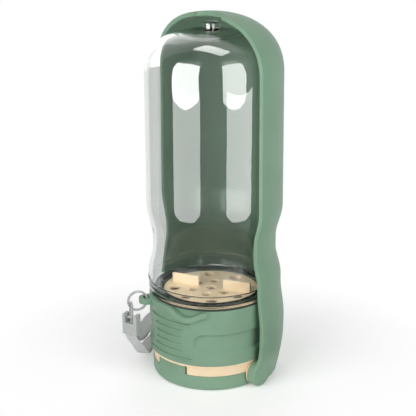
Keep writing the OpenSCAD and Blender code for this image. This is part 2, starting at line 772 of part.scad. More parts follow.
// Side view of the trough: everything behind the rim, with the ear below a hollow blend
module trough_outline() {
    blend_r = 9;
    blend_y = -rim_y - blend_r;
    round_r = ear_r - seat_gap;
    blend_z = pivot_z + sqrt(pow(round_r + blend_r, 2) - pow(blend_y, 2));
    meet = atan2(pivot_z - blend_z, -blend_y);
    low = 360 + asin((trough_edge_z - pivot_z) / round_r);
    polygon(concat([[far, trough_edge_z], [far, trough_top + 1], [-rim_y, trough_top + 1]],
        arc(blend_y, blend_z, blend_r, 0, meet, 8),
        arc(0, pivot_z, round_r, meet + 176, low, 20)));
}

module trough() {
    color(green) difference() {
        union() {
            intersection() {
                rotate_extrude() polygon(concat(trough_side(0), backwards(trough_side(trough_wall))));
                rotate([90, 0, 90]) translate([0, 0, -far / 2]) linear_extrude(far) trough_outline();
            }
            at_pivots() translate([0, 0, ear_in]) cylinder(r = ear_r, h = ear_face - ear_in);
        }
        // room for the boss to turn in
        at_pivots() cylinder(r = boss_r + turn_gap, h = ear_in);
        // notch in the rim over the nub
        translate([0, -rim_y, trough_top - 20]) linear_extrude(far) {
            circle(r = notch_d);
            translate([-notch_w / 2 + notch_d, -notch_d]) square([notch_w - 2 * notch_d, 2 * notch_d]);
            for (side = [-1, 1]) translate([side * (notch_w / 2 - notch_d), 0]) circle(r = notch_d);
        }
    }
    color(green) at_pivots() translate([0, 0, boss_face - bore_depth + stub_end_gap])
        cylinder(r = stub_r, h = ear_face - boss_face + bore_depth - stub_end_gap - stub_root);
}

// Ring, link, clamp and strap --------------------------------------------------------------------

module outwards() {
    rotate([0, 0, lug_angle - 90]) children();
}

module split_ring() {
    color(steel) outwards() translate([ring_x, 0, ring_z]) rotate([90, 0, 0]) rotate_extrude()
        for (side = [-1, 1]) translate([ring_r, side * (ring_wire_r - ring_bite / 2)])
            circle(r = ring_wire_r, $fn = 24);
}

module strap_link() {
    mid_z = link_low_z + link_half_w;
    color(steel) outwards() translate([link_x, 0, 0]) rotate([0, 0, 90]) {
        for (end = [0, 1]) translate([0, 0, mid_z + end * link_side]) rotate([90, 180 * (1 - end), 0])
            rotate_extrude(angle = 180) translate([link_half_w, 0]) circle(r = link_wire_r, $fn = 24);
        for (side = [-1, 1]) translate([side * link_half_w, 0, mid_z - eps])
            cylinder(r = link_wire_r, h = link_side + 2 * eps, $fn = 24);
    }
}

module clamp_frame() {
    translate([clamp_x, clamp_y, 0]) rotate([0, 0, clamp_turn]) children();
}

module strap_clamp() {
    color(grey) clamp_frame() difference() {
        translate([0, 0, clamp_z]) linear_extrude(clamp_h) {
            square([clamp_w - 2 * clamp_edge, clamp_d], center = true);
            square([clamp_w, clamp_d - 2 * clamp_edge], center = true);
            for (x = [-1, 1]) for (y = [-1, 1])
                translate([x * (clamp_w / 2 - clamp_edge), y * (clamp_d / 2 - clamp_edge)])
                    circle(r = clamp_edge, $fn = 32);
        }
        translate([-pocket_w / 2, -clamp_d, pocket_floor_z]) cube([pocket_w, 2 * clamp_d, clamp_h]);
        translate([-clamp_w, 0, clamp_pin_z]) rotate([0, 90, 0])
            cylinder(r = clamp_pin_r, h = 2 * clamp_w, $fn = 32);
    }
}

module clamp_pin() {
    color(steel) clamp_frame() translate([seat_gap - clamp_w / 2, 0, clamp_pin_z]) rotate([0, 90, 0])
        cylinder(r = clamp_pin_r, h = clamp_w - 2 * seat_gap, $fn = 32);
}

// Corners of the strap's flat section at point i of its path
function unit(v) = v / norm(v);
function strap_point(i) = [for (k = [0:2]) strap_path[i][k]];
function strap_along(i) = i == 0 || i == len(strap_path) - 1 ? [0, 0, i == 0 ? -1 : 1]
    : unit(strap_point(i + 1) - strap_point(i - 1));
function strap_corners(w, t, c) = [[w, c - t], [w, t - c], [w - c, t], [c - w, t],
    [-w, t - c], [-w, c - t], [c - w, -t], [w - c, -t]];
function strap_ring(i) = let (across = [cos(strap_path[i][3]), sin(strap_path[i][3]), 0],
    up = unit(cross(strap_along(i), across)))
    [for (q = strap_corners(strap_w / 2, strap_t / 2, strap_edge))
        strap_point(i) + q[0] * across + q[1] * up];

// The strap from one point of its path to another
module strap_stretch(first, last) {
    n = last - first + 1;
    sides = 8;
    polyhedron(
        points = [for (i = [first:last]) for (p = strap_ring(i)) p],
        faces = concat([[for (k = [0:sides - 1]) k]],
            [for (i = [0:n - 2]) for (k = [0:sides - 1])
                let (a = i * sides + k, b = i * sides + (k + 1) % sides)
                    each [[a, a + sides, b], [b, a + sides, b + sides]]],
            [[for (k = [sides - 1:-1:0]) (n - 1) * sides + k]]));
}

module strap_legs() {
    color(grey) {
        strap_stretch(0, loop_from);
        strap_stretch(loop_to, len(strap_path) - 1);
    }
}

module strap_loop() {
    color(grey) strap_stretch(loop_from, loop_to);
}

base_cap();
base_screws();
base_seal();
outlet_nozzle();
valve_body();
valve_pad();
valve_rotor();
rotor_seal();
rotor_screws();
stem_washer();
stem_screw();
collar();
thread_sleeve();
tank();
tank_gasket();
filter_basket();
lower_felt();
carbon_bed();
upper_felt();
filter_lid();
trough();
split_ring();
strap_link();
strap_clamp();
clamp_pin();
strap_legs();
strap_loop();
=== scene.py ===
# %% [markdown]
# # A dog's travel water bottle
# A clear tank stands upside down on a green twist collar. Behind it stands a green half capsule, which
# folds down on two pivots and becomes the drinking trough. Everything here is modelled around a packed
# frame of plain solids, in metres, with +Z up. The trough's open side faces -Y.

import json
import math

import bpy
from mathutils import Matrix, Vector


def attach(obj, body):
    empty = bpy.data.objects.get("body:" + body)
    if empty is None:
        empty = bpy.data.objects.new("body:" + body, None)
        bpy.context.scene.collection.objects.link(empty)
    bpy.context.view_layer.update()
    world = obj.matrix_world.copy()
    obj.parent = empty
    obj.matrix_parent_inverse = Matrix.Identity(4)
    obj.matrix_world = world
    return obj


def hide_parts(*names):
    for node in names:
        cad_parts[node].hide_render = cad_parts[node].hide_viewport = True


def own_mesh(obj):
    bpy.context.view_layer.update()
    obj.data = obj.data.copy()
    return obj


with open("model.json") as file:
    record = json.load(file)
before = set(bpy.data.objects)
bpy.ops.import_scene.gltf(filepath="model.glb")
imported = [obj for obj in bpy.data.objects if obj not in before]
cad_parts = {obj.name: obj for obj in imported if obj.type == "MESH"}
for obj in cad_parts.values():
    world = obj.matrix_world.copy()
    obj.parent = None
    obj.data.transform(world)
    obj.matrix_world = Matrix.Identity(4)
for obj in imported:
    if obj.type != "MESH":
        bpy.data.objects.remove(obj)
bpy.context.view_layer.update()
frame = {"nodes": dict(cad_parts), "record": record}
MM = 0.001

# %% [markdown]
# ## Camera
# The photograph looks slightly down on the bottle, with the trough's open side turned to the left. A long
# lens keeps the sides nearly parallel. The strap's free course was chosen by looking through this camera.

# %% Camera
CAMERA_AZIMUTH = math.radians(43.5)
CAMERA_PITCH = math.radians(18.57)
CAMERA_DISTANCE = 0.631
CAMERA_HEIGHT = 0.3145
LENS, PHOTO_W, AXIS_LEFT = 97.5, 416, 3


def around(azimuth, distance, height):
    """A point at a distance from the bottle's axis. Azimuth 0 is straight in front of the open side."""
    return Vector((distance * math.sin(azimuth), -distance * math.cos(azimuth), height))


camera_data = bpy.data.cameras.new("camera")
camera_data.lens = LENS
camera_data.shift_x = -AXIS_LEFT / PHOTO_W
camera_data.clip_start = 0.01
camera = bpy.data.objects.new("camera", camera_data)
bpy.context.scene.collection.objects.link(camera)
camera.location = around(CAMERA_AZIMUTH, CAMERA_DISTANCE, CAMERA_HEIGHT)
sight = -around(CAMERA_AZIMUTH, math.cos(CAMERA_PITCH), math.sin(CAMERA_PITCH))
camera.rotation_mode = "QUATERNION"
camera.rotation_quaternion = sight.to_track_quat("-Z", "Y")
bpy.context.scene.camera = camera
print("camera at", [round(x, 3) for x in camera.location])

# %% [markdown]
# ## Wrist strap
# The strap is a loop of grey webbing, 8 mm wide, with both ends held in the clamp. It drops to the ground,
# lies beside the bottle and comes back up. Its middle line is a list of given points, each with the
# direction that its width points in. A smooth curve through them carries a flat section whose faces have
# the webbing's lengthwise ribs. A curve's bevel can't hold a given direction for its width, so this one
# piece is written as rings of points.

# %% Strap: route
STRAP_W = 8.0
STRAP_T = 1.3
STRAP_ROUTE = [
    (-22.5, -45.9, 29.3, 14), (-21.4, -44.9, 25.6, 17), (-20, -41.8, 20.8, 25), (-21.6, -37.8, 15.9, 32),
    (-26.2, -31.8, 11.2, 38), (-32.6, -25, 7.6, 42), (-39.2, -17.6, 4.6, 44), (-46.8, -10, 2, 38),
    (-52.2, -1, 1.1, 28), (-55.6, 8, 0.9, 20), (-58.3, 17, 1.1, 17), (-60.6, 25.5, 3, 15),
    (-61.8, 30.5, 8, 15), (-61, 27.5, 13.4, 15), (-58.6, 19, 15.6, 17), (-55.8, 9.5, 16.4, 20),
    (-52.4, 0, 17, 28), (-47, -9.5, 17.4, 38), (-40, -18, 18, 42), (-34.2, -26, 18.8, 38),
    (-29, -34.2, 20.4, 30), (-25, -39.8, 23.2, 22), (-23.3, -42.8, 26.8, 16), (-23.1, -43.5, 29.3, 14),
]


def smooth_route(points, steps):
    """A smooth curve through points of any number of values (a Catmull-Rom spline)."""
    route = []
    for i in range(len(points) - 1):
        p0, p1, p2, p3 = (points[min(max(k, 0), len(points) - 1)] for k in range(i - 1, i + 3))
        for s in range(steps):
            t = s / steps
            route.append([
                0.5 * (
                    2 * b + (c - a) * t + (2 * a - 5 * b + 4 * c - d) * t**2
                    + (3 * b - a - 3 * c + d) * t**3
                )
                for a, b, c, d in zip(p0, p1, p2, p3)
            ])
    return route + [list(points[-1])]


strap_line = smooth_route(STRAP_ROUTE, 5)
strap_path = [Vector(p[:3]) * MM for p in strap_line]


# %% Strap: section and rings
def strap_section(ribs=5, per_rib=4, rib_h=0.09):
    """The strap's outline across its width: two ribbed faces and two round edges, in millimetres."""
    half_w, half_t = STRAP_W / 2, STRAP_T / 2
    flat = half_w - half_t
    n = ribs * per_rib
    face = []
    for i in range(n + 1):
        u = i / n
        face.append((-flat + 2 * flat * u, half_t - rib_h * (1 - abs(math.sin(math.pi * ribs * u)))))
    right = [(flat + half_t * math.sin(a), half_t * math.cos(a) * 0.86) for a in (0.6, 1.1, 1.6, 2.1, 2.55)]
    left = [(-x, -z) for x, z in right]
    return face + right + [(-x, -z) for x, z in face] + left


def strap_rings():
    rings = []
    section = strap_section()
    last = len(strap_line) - 1
    for i, (x, y, z, yaw) in enumerate(strap_line):
        across = Vector((math.cos(math.radians(yaw)), math.sin(math.radians(yaw)), 0))
        along = (strap_path[min(i + 1, last)] - strap_path[max(i - 1, 0)]).normalized()
        if i in (0, last):
            along = Vector((0, 0, -1 if i == 0 else 1))
        up = along.cross(across).normalized()
        rings.append([Vector((x, y, z)) * MM + (u * across + v * up) * MM for u, v in section])
    return rings


rings = strap_rings()
sides = len(rings[0])
strap_faces = [
    (i * sides + k, (i + 1) * sides + k, (i + 1) * sides + (k + 1) % sides, i * sides + (k + 1) % sides)
    for i in range(len(rings) - 1)
    for k in range(sides)
]
strap_faces += [tuple(range(sides)), tuple((len(rings) - 1) * sides + k for k in reversed(range(sides)))]
strap_mesh = bpy.data.meshes.new("wrist_strap_webbing")
strap_mesh.from_pydata([p for ring in rings for p in ring], [], strap_faces)
strap = bpy.data.objects.new("wrist_strap_webbing", strap_mesh)
bpy.context.scene.collection.objects.link(strap)
print("strap:", len(strap_mesh.polygons), "faces")


# %% Helpers for working on one piece at a time
def put_down():
    """Leaves edit mode and deselects everything, so that the next operator meets only what it should."""
    if bpy.context.mode != "OBJECT":
        bpy.ops.object.mode_set(mode="OBJECT")
    bpy.ops.object.select_all(action="DESELECT")


def pick(piece):
    put_down()
    piece.select_set(True)
    bpy.context.view_layer.objects.active = piece


def tidy_mesh(piece):
    """Merges doubles and turns every face outwards."""
    pick(piece)
    bpy.ops.object.mode_set(mode="EDIT")
    bpy.ops.mesh.select_all(action="SELECT")
    bpy.ops.mesh.remove_doubles(threshold=1e-6)
    bpy.ops.mesh.normals_make_consistent(inside=False)
    put_down()


def smooth(piece, angle):
    pick(piece)
    bpy.ops.object.shade_smooth_by_angle(angle=math.radians(angle))
    put_down()


def count(piece):
    print(f"{piece.name}: {len(piece.data.polygons)} faces, {len(piece.data.vertices)} vertices")


tidy_mesh(strap)
smooth(strap, 50)

# %% [markdown]
# Webbing follows its own length, so its pattern reads a UV map: U runs along the strap and V across it,
# both in millimetres.

# %% Strap: a UV map along its length
strap_uv = strap_mesh.uv_layers.new(name="along_the_strap")
distance = [0.0]
for a, b in zip(strap_path, strap_path[1:]):
    distance.append(distance[-1] + (b - a).length * 1000)
section_v = [u for u, v in strap_section()]
for loop in strap_mesh.loops:
    ring, k = divmod(loop.vertex_index, sides)
    strap_uv.data[loop.index].uv = (distance[ring], section_v[k])

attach(strap, "clamp")
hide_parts("strap_legs", "strap_loop")

# %% [markdown]
# ## How the hard pieces are drawn
# Most of the bottle is round about its own axis, as moulded parts are. Each such piece starts as a single
# point, which is extruded from place to place along its outline, and the outline is then spun. Three small
# helpers do the drawing: a smooth step between two radii, a rounded dome, and an arc.

# %% Outlines, in millimetres: distance from the axis and height
def ease(r0, z0, r1, z1, n=12):
    """A smooth step from one radius to another."""
    return [
        (r0 + (r1 - r0) * (1 - math.cos(math.pi * i / n)) / 2, z0 + (z1 - z0) * i / n) for i in range(n + 1)
    ]


def dome(radius, height, power, z0, start=0, end=90, n=32):
    """A quarter of a rounded square, which is fuller at its shoulder than a quarter of a circle."""
    points = []
    for i in range(n + 1):
        t = math.radians(start + (end - start) * i / n)
        points.append((
            radius * max(math.cos(t), 0) ** (2 / power),
            z0 + height * max(math.sin(t), 0) ** (2 / power),
        ))
    return points


def arc(r, z, radius, start, end, n=6):
    turns = [math.radians(start + (end - start) * i / n) for i in range(n + 1)]
    return [(r + radius * math.cos(t), z + radius * math.sin(t)) for t in turns]


# %% Drawing an outline point by point
def draw(name, points, closed=False):
    """A new piece whose only edges run through the given points (x, y, z), in millimetres."""
    put_down()
    bpy.ops.mesh.primitive_plane_add(size=MM)
    piece = bpy.context.active_object
    piece.name = piece.data.name = name
    bpy.ops.object.mode_set(mode="EDIT")
    bpy.ops.mesh.select_mode(type="VERT")
    bpy.ops.mesh.select_all(action="SELECT")
    bpy.ops.mesh.merge(type="CENTER")
    places = [Vector(p) * MM for p in points]
    bpy.ops.transform.translate(value=places[0])
    for here, there in zip(places, places[1:]):
        bpy.ops.mesh.extrude_vertices_move(TRANSFORM_OT_translate={"value": there - here})
    if closed:
        bpy.ops.mesh.select_all(action="SELECT")
        bpy.ops.mesh.remove_doubles(threshold=1e-6)
        bpy.ops.mesh.select_all(action="DESELECT")
        bpy.ops.object.mode_set(mode="OBJECT")
        piece.data.vertices[0].select = True
        piece.data.vertices[-1].select = True
        bpy.ops.object.mode_set(mode="EDIT")
        bpy.ops.mesh.edge_face_add()
    put_down()
    return piece


def spin(piece, steps, degrees=360, axis=(0, 0, 1), center=(0, 0, 0)):
    pick(piece)
    bpy.ops.object.mode_set(mode="EDIT")
    bpy.ops.mesh.select_all(action="SELECT")
    bpy.ops.mesh.spin(steps=steps, angle=math.radians(degrees), center=center, axis=axis)
    bpy.ops.mesh.select_all(action="SELECT")
    bpy.ops.mesh.remove_doubles(threshold=2e-6)
    bpy.ops.mesh.normals_make_consistent(inside=False)
    put_down()


def turned(name, outline, steps=144):
    """A closed outline of (radius, height), turned all the way round the bottle's axis."""
    piece = draw(name, [(r, 0, z) for r, z in outline], closed=True)
    spin(piece, steps)
    return piece


def prism(name, outline, height):
    """A flat outline of (x, y, z), in millimetres, filled and extruded up."""
    piece = draw(name, outline, closed=True)
    pick(piece)
    bpy.ops.object.mode_set(mode="EDIT")
    bpy.ops.mesh.select_all(action="SELECT")
    bpy.ops.mesh.edge_face_add()
    bpy.ops.mesh.extrude_region_move(TRANSFORM_OT_translate={"value": (0, 0, height * MM)})
    bpy.ops.mesh.select_all(action="SELECT")
    bpy.ops.mesh.normals_make_consistent(inside=False)
    put_down()
    return piece


# %% Modifiers that are applied at once
def apply_modifier(piece, kind, **settings):
    pick(piece)
    modifier = piece.modifiers.new(kind.lower(), kind)
    for key, value in settings.items():
        setattr(modifier, key, value)
    bpy.ops.object.modifier_apply(modifier=modifier.name)
    put_down()


def combine(piece, tool, how):
    """Adds the tool to the piece (UNION), cuts it out (DIFFERENCE) or keeps what both hold (INTERSECT)."""
    apply_modifier(piece, "BOOLEAN", operation=how, solver="EXACT", object=tool)
    bpy.data.objects.remove(tool, do_unlink=True)


def round_edges(piece, width, segments, angle):
    apply_modifier(
        piece, "BEVEL", width=width * MM, segments=segments, limit_method="ANGLE",
        angle_limit=math.radians(angle), use_clamp_overlap=True,
    )


# %% [markdown]
# ## Tank
# The tank is one blow-moulded piece: a threaded neck, a foot, a drawn-in waist for the fingers, a straight
# wall and a full dome with a small nub. Its wall is real, with an inside of its own, because light bends
# at both faces. Thin ridges go round it at the foot, the waist and the wall. The outline is drawn once,
# outside and inside, and turned.

# %% Tank: heights and radii
SHOULDER = 53.0
FOOT_TOP, WAIST_LOW, WAIST_HIGH, WALL_LOW, DOME_LOW = 62.0, 81.0, 86.5, 106.0, 184.0
TANK_R, WAIST_R, FOOT_R, TANK_WALL = 38.0, 34.6, 37.4, 2.0
NECK_R, NECK_LOW, THREAD_LOW = 31.2, 39.0, (42.0, 46.0)
NUB_R, TANK_TOP, NUB_TOP, CEILING, CEILING_R = 4.7, 208.5, 212.6, 205.1, 17.0
FOOT_ROUND, SHOULDER_T, NUB_ROUND = 1.6, 1.0, 0.7
DOME_FULLNESS = 2.55
RIDGE_HEIGHTS = (60.9, 79.8, 101.6)


def tank_side(drawn_in=0.0):
    """The tank's side from the foot to the wall, drawn in by its wall where it is the inside."""
    t = drawn_in
    waist_r = WAIST_R - t
    return ease(FOOT_R - t, FOOT_TOP, waist_r, WAIST_LOW) + ease(waist_r, WAIST_HIGH, TANK_R - t, WALL_LOW)


def ridge(r, z, height=0.8, reach=0.42):
    """A thin moulded ring, rounded over."""
    return [(r + reach * math.sin(math.pi * i / 6), z + height * (i / 6 - 0.5)) for i in range(7)]


def with_ridges(side, heights):
    """The side with a ridge let in at each of the given heights."""
    result = []
    for (r0, z0), (r1, z1) in zip(side, side[1:] + [side[-1]]):
        result.append((r0, z0))
        for z in heights:
            if z0 + 0.5 < z < z1 - 0.5:
                r = r0 + (r1 - r0) * (z - z0) / (z1 - z0)
                result += ridge(r, z)
    return result


# %% Tank: the whole outline
thread = [
    (NECK_R + r, z0 + z) for z0 in THREAD_LOW for r, z in ((0, 0), (0.9, 0.3), (0.9, 1.3), (0, 1.6))
]
foot = arc(FOOT_R - FOOT_ROUND, SHOULDER + FOOT_ROUND, FOOT_ROUND, -90, 0, 8)
outside = with_ridges(foot + [(FOOT_R, FOOT_TOP - 1.8)] + tank_side(), RIDGE_HEIGHTS)
dome_h = TANK_TOP - DOME_LOW
crown = [p for p in dome(TANK_R, dome_h, DOME_FULLNESS, DOME_LOW, 0, 84, 36) if p[0] > NUB_R + 0.5]
nub = [(NUB_R + 0.4, TANK_TOP), (NUB_R, TANK_TOP + 0.4)]
nub += arc(NUB_R - NUB_ROUND, NUB_TOP - NUB_ROUND, NUB_ROUND, 0, 90, 5)
under_crown = [
    p for p in dome(TANK_R - TANK_WALL, dome_h - TANK_WALL, DOME_FULLNESS, DOME_LOW, 84, 0, 36)
    if p[1] < CEILING - 0.4
]
floor_top, inner_foot_r, inner_neck_r = SHOULDER + SHOULDER_T, FOOT_R - TANK_WALL, NECK_R - TANK_WALL
inside = (
    [(0, CEILING), (CEILING_R - 0.4, CEILING), (CEILING_R, CEILING - 0.15)]
    + under_crown
    + tank_side(TANK_WALL)[::-1]
    + [(inner_foot_r, SHOULDER + 3.0), (inner_foot_r - 0.9, floor_top + 0.4)]
    + [(inner_foot_r - 1.9, floor_top), (inner_neck_r + 0.4, floor_top), (inner_neck_r, floor_top - 0.4)]
)
neck = [(inner_neck_r, NECK_LOW), (NECK_R, NECK_LOW)] + thread + [(NECK_R, SHOULDER)]
tank = turned("tank_clear", neck + outside + crown + nub + [(0, NUB_TOP)] + inside)
smooth(tank, 35)
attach(tank, "head")
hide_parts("tank")
count(tank)

# %% [markdown]
# ## Trough
# The trough is half of a capsule, cut lengthwise, with a wall of 2.6 mm. It wraps the back of the bottle
# and swings down on two round ears. Only its outer skin is drawn: the outline is spun half way round, its
# two free edges are pulled forward to the rim, and Solidify gives the wall. Near the ears the rim runs
# forward in a hollow curve to meet them.

# %% Trough: outline and skin
RIM = 2.8
PIVOT_Z = 8.2
EAR_R, EAR_IN, EAR_FACE = 7.6, 38.9, 41.9
CUP_R, CUP_FROM = 6.9, 36.2
ROOM_FROM, ROOM_GAP = 30, 0.7
STUB_R, STUB_TIP = 3.35, 34.4
BLEND_R = 9.0
TROUGH_WALL, TROUGH_LOW, SKIRT_H = 2.6, 2.0, 29.0
LOW_R, BELLY_R, SIDE_R, HOLLOW_R, UPPER_R = 40.2, 44.2, 41.9, 38.5, 42.3
BELLY_TOP, SIDE_LOW, SIDE_TOP, HOLLOW_LOW, HOLLOW_TOP, UPPER_LOW = 36, 60, 62, 81, 87, 107
CAP_R, CAP_H, CAP_FULLNESS = 41.6, 33.97, 2.25
blend_z = PIVOT_Z + math.sqrt((EAR_R + BLEND_R) ** 2 - (RIM + BLEND_R) ** 2)
meet_z = PIVOT_Z + (blend_z - PIVOT_Z) * EAR_R / (EAR_R + BLEND_R)

skirt = [
    (LOW_R + (BELLY_R - LOW_R) * math.sin(math.pi / 2 * i / 24), TROUGH_LOW + SKIRT_H * i / 24)
    for i in range(25)
]
trough_side = (
    skirt + ease(BELLY_R, BELLY_TOP, SIDE_R, SIDE_LOW) + ease(SIDE_R, SIDE_TOP, HOLLOW_R, HOLLOW_LOW)
    + ease(HOLLOW_R, HOLLOW_TOP, UPPER_R, UPPER_LOW) + dome(CAP_R, CAP_H, CAP_FULLNESS, DOME_LOW)
)


def rim_reach(z):
    """How far the rim lies in front of the axis at a height."""
    if z < meet_z:
        return math.sqrt(max(EAR_R**2 - (z - PIVOT_Z) ** 2, 0))
    if z < blend_z:
        return RIM + BLEND_R - math.sqrt(BLEND_R**2 - (blend_z - z) ** 2)
    return RIM


trough = draw("trough_shell", [(r, 0, z) for r, z in trough_side])
spin(trough, 72, -180)
if max(v.co.y for v in trough.data.vertices) < 0.01:
    raise SystemExit("the trough was spun to the wrong side")


def edit(piece, chosen):
    """Enters edit mode with only those points selected that the rule chooses."""
    pick(piece)
    for part in (piece.data.polygons, piece.data.edges):
        part.foreach_set("select", [False] * len(part))
    for v in piece.data.vertices:
        v.select = chosen(v.co)
    bpy.ops.object.mode_set(mode="EDIT")
    bpy.ops.mesh.select_mode(type="VERT")


edit(trough, lambda co: abs(co.y) < 1e-6)
bpy.ops.mesh.extrude_edges_move(TRANSFORM_OT_translate={"value": (0, -RIM * MM, 0)})
put_down()
print("trough skin:", len(trough.data.polygons), "faces")

# %% Trough: the rim runs forward to the ears
rim_points = [v.co for v in trough.data.vertices if v.co.y < -1e-6 and v.co.z < blend_z * MM]
heights = sorted({round(co.z, 6) for co in rim_points})
for z in heights:
    edit(trough, lambda co: co.y < -1e-6 and abs(co.z - z) < 1e-6)
    bpy.ops.transform.translate(value=(0, (RIM - rim_reach(z / MM)) * MM, 0))
    put_down()
print("trough: rim moved at", len(heights), "heights")

# %% [markdown]
# The wall gets its thickness inwards. The rim's edges are rounded while the mesh is still clean, and only
# then do the booleans come: room for the valve body's bosses is cut at each side, and the ears are added.
# An ear is a shallow cup round the boss, with the stub that the trough turns on in its middle.

# %% Trough: wall and ears
apply_modifier(trough, "SOLIDIFY", thickness=TROUGH_WALL * MM, offset=-1, use_even_offset=True)
tidy_mesh(trough)
round_edges(trough, 0.5, 3, 60)


def turned_sideways(name, outline, side):
    """A closed outline of (radius, distance along X), turned round the trough's pivot."""
    piece = draw(name, [(side * x, 0, PIVOT_Z + r) for r, x in outline], closed=True)
    spin(piece, 72, axis=(1, 0, 0), center=(0, 0, PIVOT_Z * MM))
    return piece


for side in (-1, 1):
    room_r = EAR_R + ROOM_GAP
    room = [(0, ROOM_FROM), (room_r, ROOM_FROM), (room_r, EAR_IN), (0, EAR_IN)]
    combine(trough, turned_sideways("room", room, side), "DIFFERENCE")
    stub = [(0, STUB_TIP), (STUB_R - 0.35, STUB_TIP), (STUB_R, STUB_TIP + 0.4), (STUB_R, EAR_IN)]
    cup = [(CUP_R, EAR_IN), (CUP_R, CUP_FROM), (EAR_R - 0.3, CUP_FROM), (EAR_R, CUP_FROM + 0.3)]
    face = [(EAR_R, EAR_FACE - 1.1), (EAR_R - 0.3, EAR_FACE - 0.4), (EAR_R - 0.9, EAR_FACE), (0, EAR_FACE)]
    combine(trough, turned_sideways("ear", stub + cup + face, side), "UNION")

# %% [markdown]
# The trough's rim has a notch above the tank's nub, so that the two clear each other. Its two inner corners
# are round. The outline is filled, extruded up and cut out.

# %% Trough: notch
NOTCH_W, NOTCH_D, NOTCH_LOW, NOTCH_H = 21.0, 4.5, 198, 40
notch_outline = [(-NOTCH_W / 2, -RIM - 6)]
notch_outline += [
    (-NOTCH_W / 2 + NOTCH_D - NOTCH_D * math.cos(t), -RIM + NOTCH_D * math.sin(t))
    for t in [math.pi / 2 * i / 10 for i in range(11)]
]
notch_outline += [(-x, y) for x, y in notch_outline[::-1]]
combine(trough, prism("notch", [(x, y, NOTCH_LOW) for x, y in notch_outline], NOTCH_H), "DIFFERENCE")
smooth(trough, 38)
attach(trough, "trough")
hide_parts("trough")
count(trough)

# %% [markdown]
# ## Valve body
# The beige valve body carries the trough on two round bosses. It starts as a copy of the frame's solid,
# with its loose triangles joined. The bosses' rims are turned down a little, to sit inside the ears' cups,
# and every sharp edge is rounded.

# %% Valve body: a copy with smaller boss rims
BOSS_R, BOSS_FROM, BOSS_TO, BOSS_OUT = 6.75, 35.45, 39.0, 9.0
block = frame["nodes"]["valve_body"]
valve_body = block.copy()
valve_body.data = block.data.copy()
valve_body.name = valve_body.data.name = "valve_body_trimmed"
bpy.context.scene.collection.objects.link(valve_body)
valve_body.parent = None
tidy_mesh(valve_body)
for side in (-1, 1):
    band = [(BOSS_R, BOSS_FROM), (BOSS_OUT, BOSS_FROM), (BOSS_OUT, BOSS_TO), (BOSS_R, BOSS_TO)]
    combine(valve_body, turned_sideways("band", band, side), "DIFFERENCE")
round_edges(valve_body, 0.2, 2, 40)
smooth(valve_body, 38)
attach(valve_body, "base")
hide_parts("valve_body")
count(valve_body)

# %% [markdown]
# ## Collar
# The collar is what the hand twists. Its wall carries six grip ribs at the front, a long shallow recess
# on each side, and a lip round the front whose edge dips to the right of the middle. The wall is turned
# with rows where the details need them, and then pressed into shape as clay would be: one rule says how
# far each point of the wall stands out or sinks, from its angle and its height.

# %% Collar: rule for its details
COLLAR_R, COLLAR_IN, COLLAR_LOW, COLLAR_TOP = 37.2, 35.0, 17.0, 51.8
RIB_FIRST, RIB_PITCH = 3.2, 4.35
RIB_HEIGHTS = [COLLAR_LOW + RIB_FIRST + RIB_PITCH * i for i in range(6)]
RIB_HALF_ANGLES = [27, 19, 17, 17, 18.5, 25.5]
RIB_H, RIB_REACH = 0.9, 0.95
RECESS_MID_Z, RECESS_HALF_H, RECESS_HALF_ANGLE, RECESS_DEPTH = 30.5, 6.5, 63, 1.35
LIP_H, LIP_REACH, LIP_FROM, LIP_TO = 3.2, 1.7, -31, 42
DIP_ANGLE, DIP_W, DIP_DEPTH = 20.5, 23.0, 4.4
LIP_LOW = COLLAR_TOP - LIP_H
SEAT_R, SEAT_LOW, SEAT_TOP, COLLAR_FLOOR = 31.5, 33.8, 35.8, 19


def step(low, high, x):
    """Rises smoothly from 0 at low to 1 at high."""
    t = min(max((x - low) / (high - low), 0), 1)
    return t * t * (3 - 2 * t)


def rib(angle, z):
    for low, half in zip(RIB_HEIGHTS, RIB_HALF_ANGLES):
        if low - 0.01 < z < low + RIB_H + 0.01:
            return step(half, half - 2.5, abs(angle))
    return 0


def recess(angle, z):
    """Its top edge is crisp; its ends and its lower edge slope in."""
    along = max(abs(abs(angle) - 90) - RECESS_HALF_ANGLE, -200) * math.radians(1) * COLLAR_R + RECESS_HALF_H
    up = z - RECESS_MID_Z
    reach = math.hypot(max(along, 0), up)
    slope = 1.6 - 1.0 * step(0.2, 0.85, up / max(reach, 1e-6))
    return step(0, slope, RECESS_HALF_H - reach)


def lip(angle, z):
    """It stands out between its two ends, and only above its lower edge."""
    ends = step(LIP_FROM - 2, LIP_FROM, angle) * step(LIP_TO + 1, LIP_TO - 3, angle)
    return (z > LIP_LOW) * ends


def dip(angle, z):
    across = COLLAR_R * math.sin(math.radians(angle - DIP_ANGLE))
    if abs(angle - DIP_ANGLE) > 60 or abs(across) > DIP_W / 2:
        return 0
    wave = (1 + math.cos(2 * math.pi * across / DIP_W)) / 2
    return wave**0.7 * step(43.0, LIP_LOW, z)


